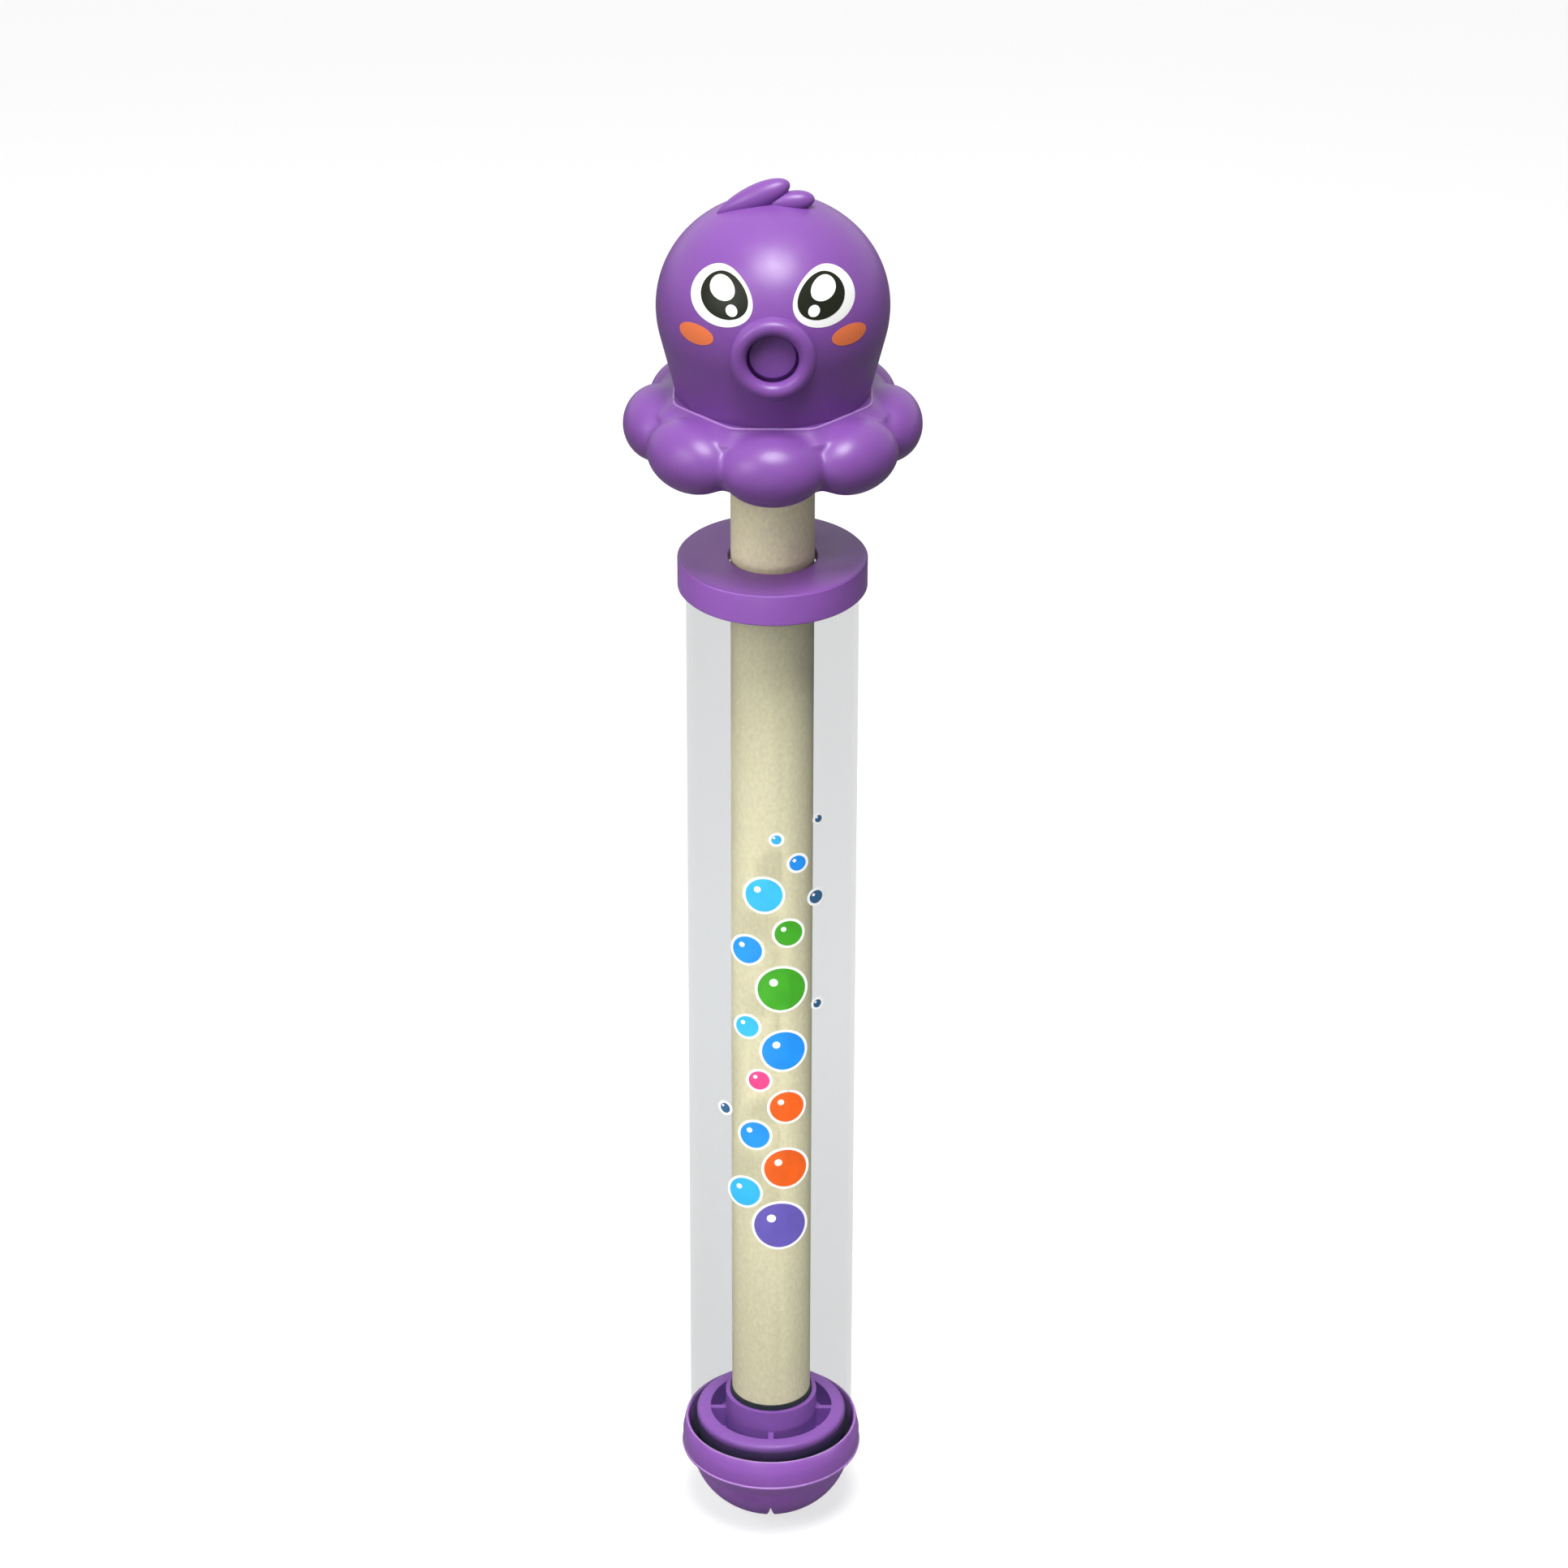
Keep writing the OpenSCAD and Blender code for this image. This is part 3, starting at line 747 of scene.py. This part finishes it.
# Ink, way round the tube to the right of its front, height and radius
BUBBLES = [
    ("violet", 1.6, 71.4, 5.2),
    ("sky", -4.9, 78.2, 3.4),
    ("orange", 2.6, 83.6, 4.4),
    ("blue", -3.0, 90.6, 3.2),
    ("navy", -8.8, 95.0, 1.5),
    ("orange", 2.8, 96.6, 3.6),
    ("pink", -2.2, 102.2, 2.4),
    ("blue", 2.2, 108.4, 4.4),
    ("sky", -4.4, 113.2, 2.6),
    ("navy", 8.6, 117.0, 1.3),
    ("green", 1.8, 121.2, 4.8),
    ("blue", -4.4, 129.0, 3.2),
    ("green", 3.0, 132.6, 3.0),
    ("navy", 8.2, 139.0, 1.8),
    ("sky", -1.4, 140.4, 3.8),
    ("blue", 4.6, 146.6, 2.0),
    ("navy", 8.6, 154.6, 1.2),
    ("sky", 0.8, 151.6, 1.4),
]


def tube_disc(name, arc, z, radius, lift, ink):
    """A thin disc on the front of the tube, its place measured round it to the right."""
    verts = []
    layers = [(max(s, PINHOLE_R), lift) for s in np.linspace(0, radius, DISC_RINGS)]
    layers += [(radius, PRINT_GAP), (PINHOLE_R, PRINT_GAP)]
    for reach, up in layers:
        r = BARREL_R + up
        for w in round_steps(DISC_STEPS):
            a = (arc + reach * math.cos(w)) / BARREL_R
            verts.append((r * math.sin(a), -r * math.cos(a), z + reach * math.sin(w)))
    obj = outward(mesh_object(name, verts, ring_faces(len(layers), DISC_STEPS, True)))
    obj.visible_shadow = False
    dress(obj, "barrel", ink)


def bubbles():
    """Discs of ink, each with a white edge and a white glint."""
    for name, color in INKS.items():
        mats[f"ink_{name}"] = plastic(f"ink_{name}", color, *INK_FINISH)
    for i, (ink, arc, z, radius) in enumerate(BUBBLES):
        shift = radius * GLINT_SHIFT
        glint_r = radius * GLINT_SIZE
        tube_disc(f"bubble_edge_{i:02d}", arc, z, radius, EDGE_LIFT, "eye_white")
        tube_disc(f"bubble_{i:02d}", arc, z, radius - EDGE_W, BUBBLE_LIFT, f"ink_{ink}")
        tube_disc(f"bubble_glint_{i:02d}", arc - shift, z + shift, glint_r, GLINT_LIFT, "eye_white")


bubbles()


# Floor, light and camera

WHITE_LIGHT = (1, 1, 1, 1)
FLOOR_HALF = 3000
FLOOR_GAP = 0.02
FLOOR_ROUGH = 0.9
FLOOR_DRIFT = (0.98, 1.0)
FLOOR_DRIFT_SCALE = 2.0
# Levels for light that is carried about, for mirrored light and for what is seen
FLOOR_TONE = (0.15, 0.25, 0.5)
FLOOR_GLOW = (0.0, 0.05, 0.68)
WORLD_LIGHT = 0.22
WORLD_SEEN = 1.0
# The mirrored world grows lighter between these ways to the back
BACK_ENDS = (-0.2, 0.8)
BACK_LEVELS = (0.25, 1.0)
# Name, place, height that it aims at, size, power and spread in degrees
LAMPS = [
    ("key", (0.02, -0.36, 1.12), 0.2, 0.5, 12, 180),
    ("fill", (-0.75, -0.60, 0.75), 0.2, 0.6, 4.2, 180),
    ("front", (-0.22, -0.88, 0.10), 0.105, 0.1, 0.038, 16),
    ("side_left", (-0.82, -0.40, 0.14), 0.12, 0.12, 0.0165, 13),
    ("side_right", (0.84, -0.30, 0.10), 0.07, 0.12, 0.012, 14),
]
SENSOR_MM = 36
FOCAL_PX = 6800
PICTURE_PX = 1932
CAMERA_FAR = 20
CAMERA_TILT = math.radians(28.3)
CAMERA_ROLL = math.radians(0.17)
CAMERA_REACH = 0.979
CAMERA_AIM_X = 0.0021
CAMERA_AIM_Z = 0.1546


def ray_level(tree, lit, mirrored, seen):
    """Levels for rays that carry light about, for mirrored rays and for the eye's own rays."""
    path = tree.nodes.new("ShaderNodeLightPath")
    through = path.outputs["Is Transmission Ray"]
    straight = joined(tree, "MAXIMUM", path.outputs["Is Camera Ray"], through)
    inner = tree.nodes.new("ShaderNodeMix")
    inner.inputs["A"].default_value = lit
    if isinstance(mirrored, float):
        inner.inputs["B"].default_value = mirrored
    else:
        tree.links.new(mirrored, inner.inputs["B"])
    tree.links.new(path.outputs["Is Glossy Ray"], inner.inputs["Factor"])
    outer = tree.nodes.new("ShaderNodeMix")
    outer.inputs["B"].default_value = seen
    tree.links.new(inner.outputs["Result"], outer.inputs["A"])
    tree.links.new(straight, outer.inputs["Factor"])
    return outer.outputs["Result"]


def floor():
    """A pale floor, which also is the background."""
    low, high = -FLOOR_HALF, FLOOR_HALF
    corners = [(low, low, 0), (high, low, 0), (high, high, 0), (low, high, 0)]
    obj = mesh_object("floor", corners, [(0, 1, 2, 3)])
    obj.location.z = -FLOOR_GAP * MM
    mat, tree, bsdf = shader("floor_white")
    drift = noise_ramp(tree, noise(tree, FLOOR_DRIFT_SCALE), *FLOOR_DRIFT)
    tone = joined(tree, "MULTIPLY", drift, ray_level(tree, *FLOOR_TONE))
    tree.links.new(tone, bsdf.inputs["Base Color"])
    bsdf.inputs["Roughness"].default_value = FLOOR_ROUGH
    bsdf.inputs["Specular IOR Level"].default_value = 0.0
    bsdf.inputs["Emission Color"].default_value = WHITE_LIGHT
    tree.links.new(ray_level(tree, *FLOOR_GLOW), bsdf.inputs["Emission Strength"])
    obj.data.materials.append(mat)


def world():
    """An even white surround, whose mirrored light comes more from behind the object."""
    sky = bpy.data.worlds.new("studio")
    sky.use_nodes = True
    tree = sky.node_tree
    back = tree.nodes["Background"]
    way = tree.nodes.new("ShaderNodeTexCoord")
    parts = tree.nodes.new("ShaderNodeSeparateXYZ")
    tree.links.new(way.outputs["Generated"], parts.inputs["Vector"])
    behind = ramp(tree, parts.outputs["Y"], BACK_ENDS, BACK_LEVELS)
    tree.links.new(ray_level(tree, WORLD_LIGHT, behind, WORLD_SEEN), back.inputs["Strength"])
    back.inputs["Color"].default_value = WHITE_LIGHT
    bpy.context.scene.world = sky


def area_light(name, place, aim_z, size, power, spread_deg):
    """A round lamp that looks at a height on the object's axis."""
    data = bpy.data.lights.new(name, "AREA")
    data.shape = "DISK"
    data.size = size
    data.energy = power
    data.spread = math.radians(spread_deg)
    obj = bpy.data.objects.new(name, data)
    bpy.context.scene.collection.objects.link(obj)
    obj.location = place
    look = Vector((0, 0, aim_z)) - Vector(place)
    obj.rotation_euler = look.to_track_quat("-Z", "Y").to_euler()


def camera():
    """The camera that was fitted to the photo's outline."""
    data = bpy.data.cameras.new("camera")
    data.sensor_width = SENSOR_MM
    data.lens = FOCAL_PX / PICTURE_PX * SENSOR_MM
    data.clip_end = CAMERA_FAR
    obj = bpy.data.objects.new("camera", data)
    bpy.context.scene.collection.objects.link(obj)
    back = CAMERA_REACH * math.cos(CAMERA_TILT)
    up = CAMERA_REACH * math.sin(CAMERA_TILT)
    place = Matrix.Translation((CAMERA_AIM_X, -back, CAMERA_AIM_Z + up))
    look = Matrix.Rotation(math.pi / 2 - CAMERA_TILT, 4, "X")
    obj.matrix_world = place @ look @ Matrix.Rotation(CAMERA_ROLL, 4, "Z")
    bpy.context.scene.camera = obj


floor()
world()
for row in LAMPS:
    area_light(*row)
camera()
bpy.context.scene.view_settings.view_transform = "Standard"
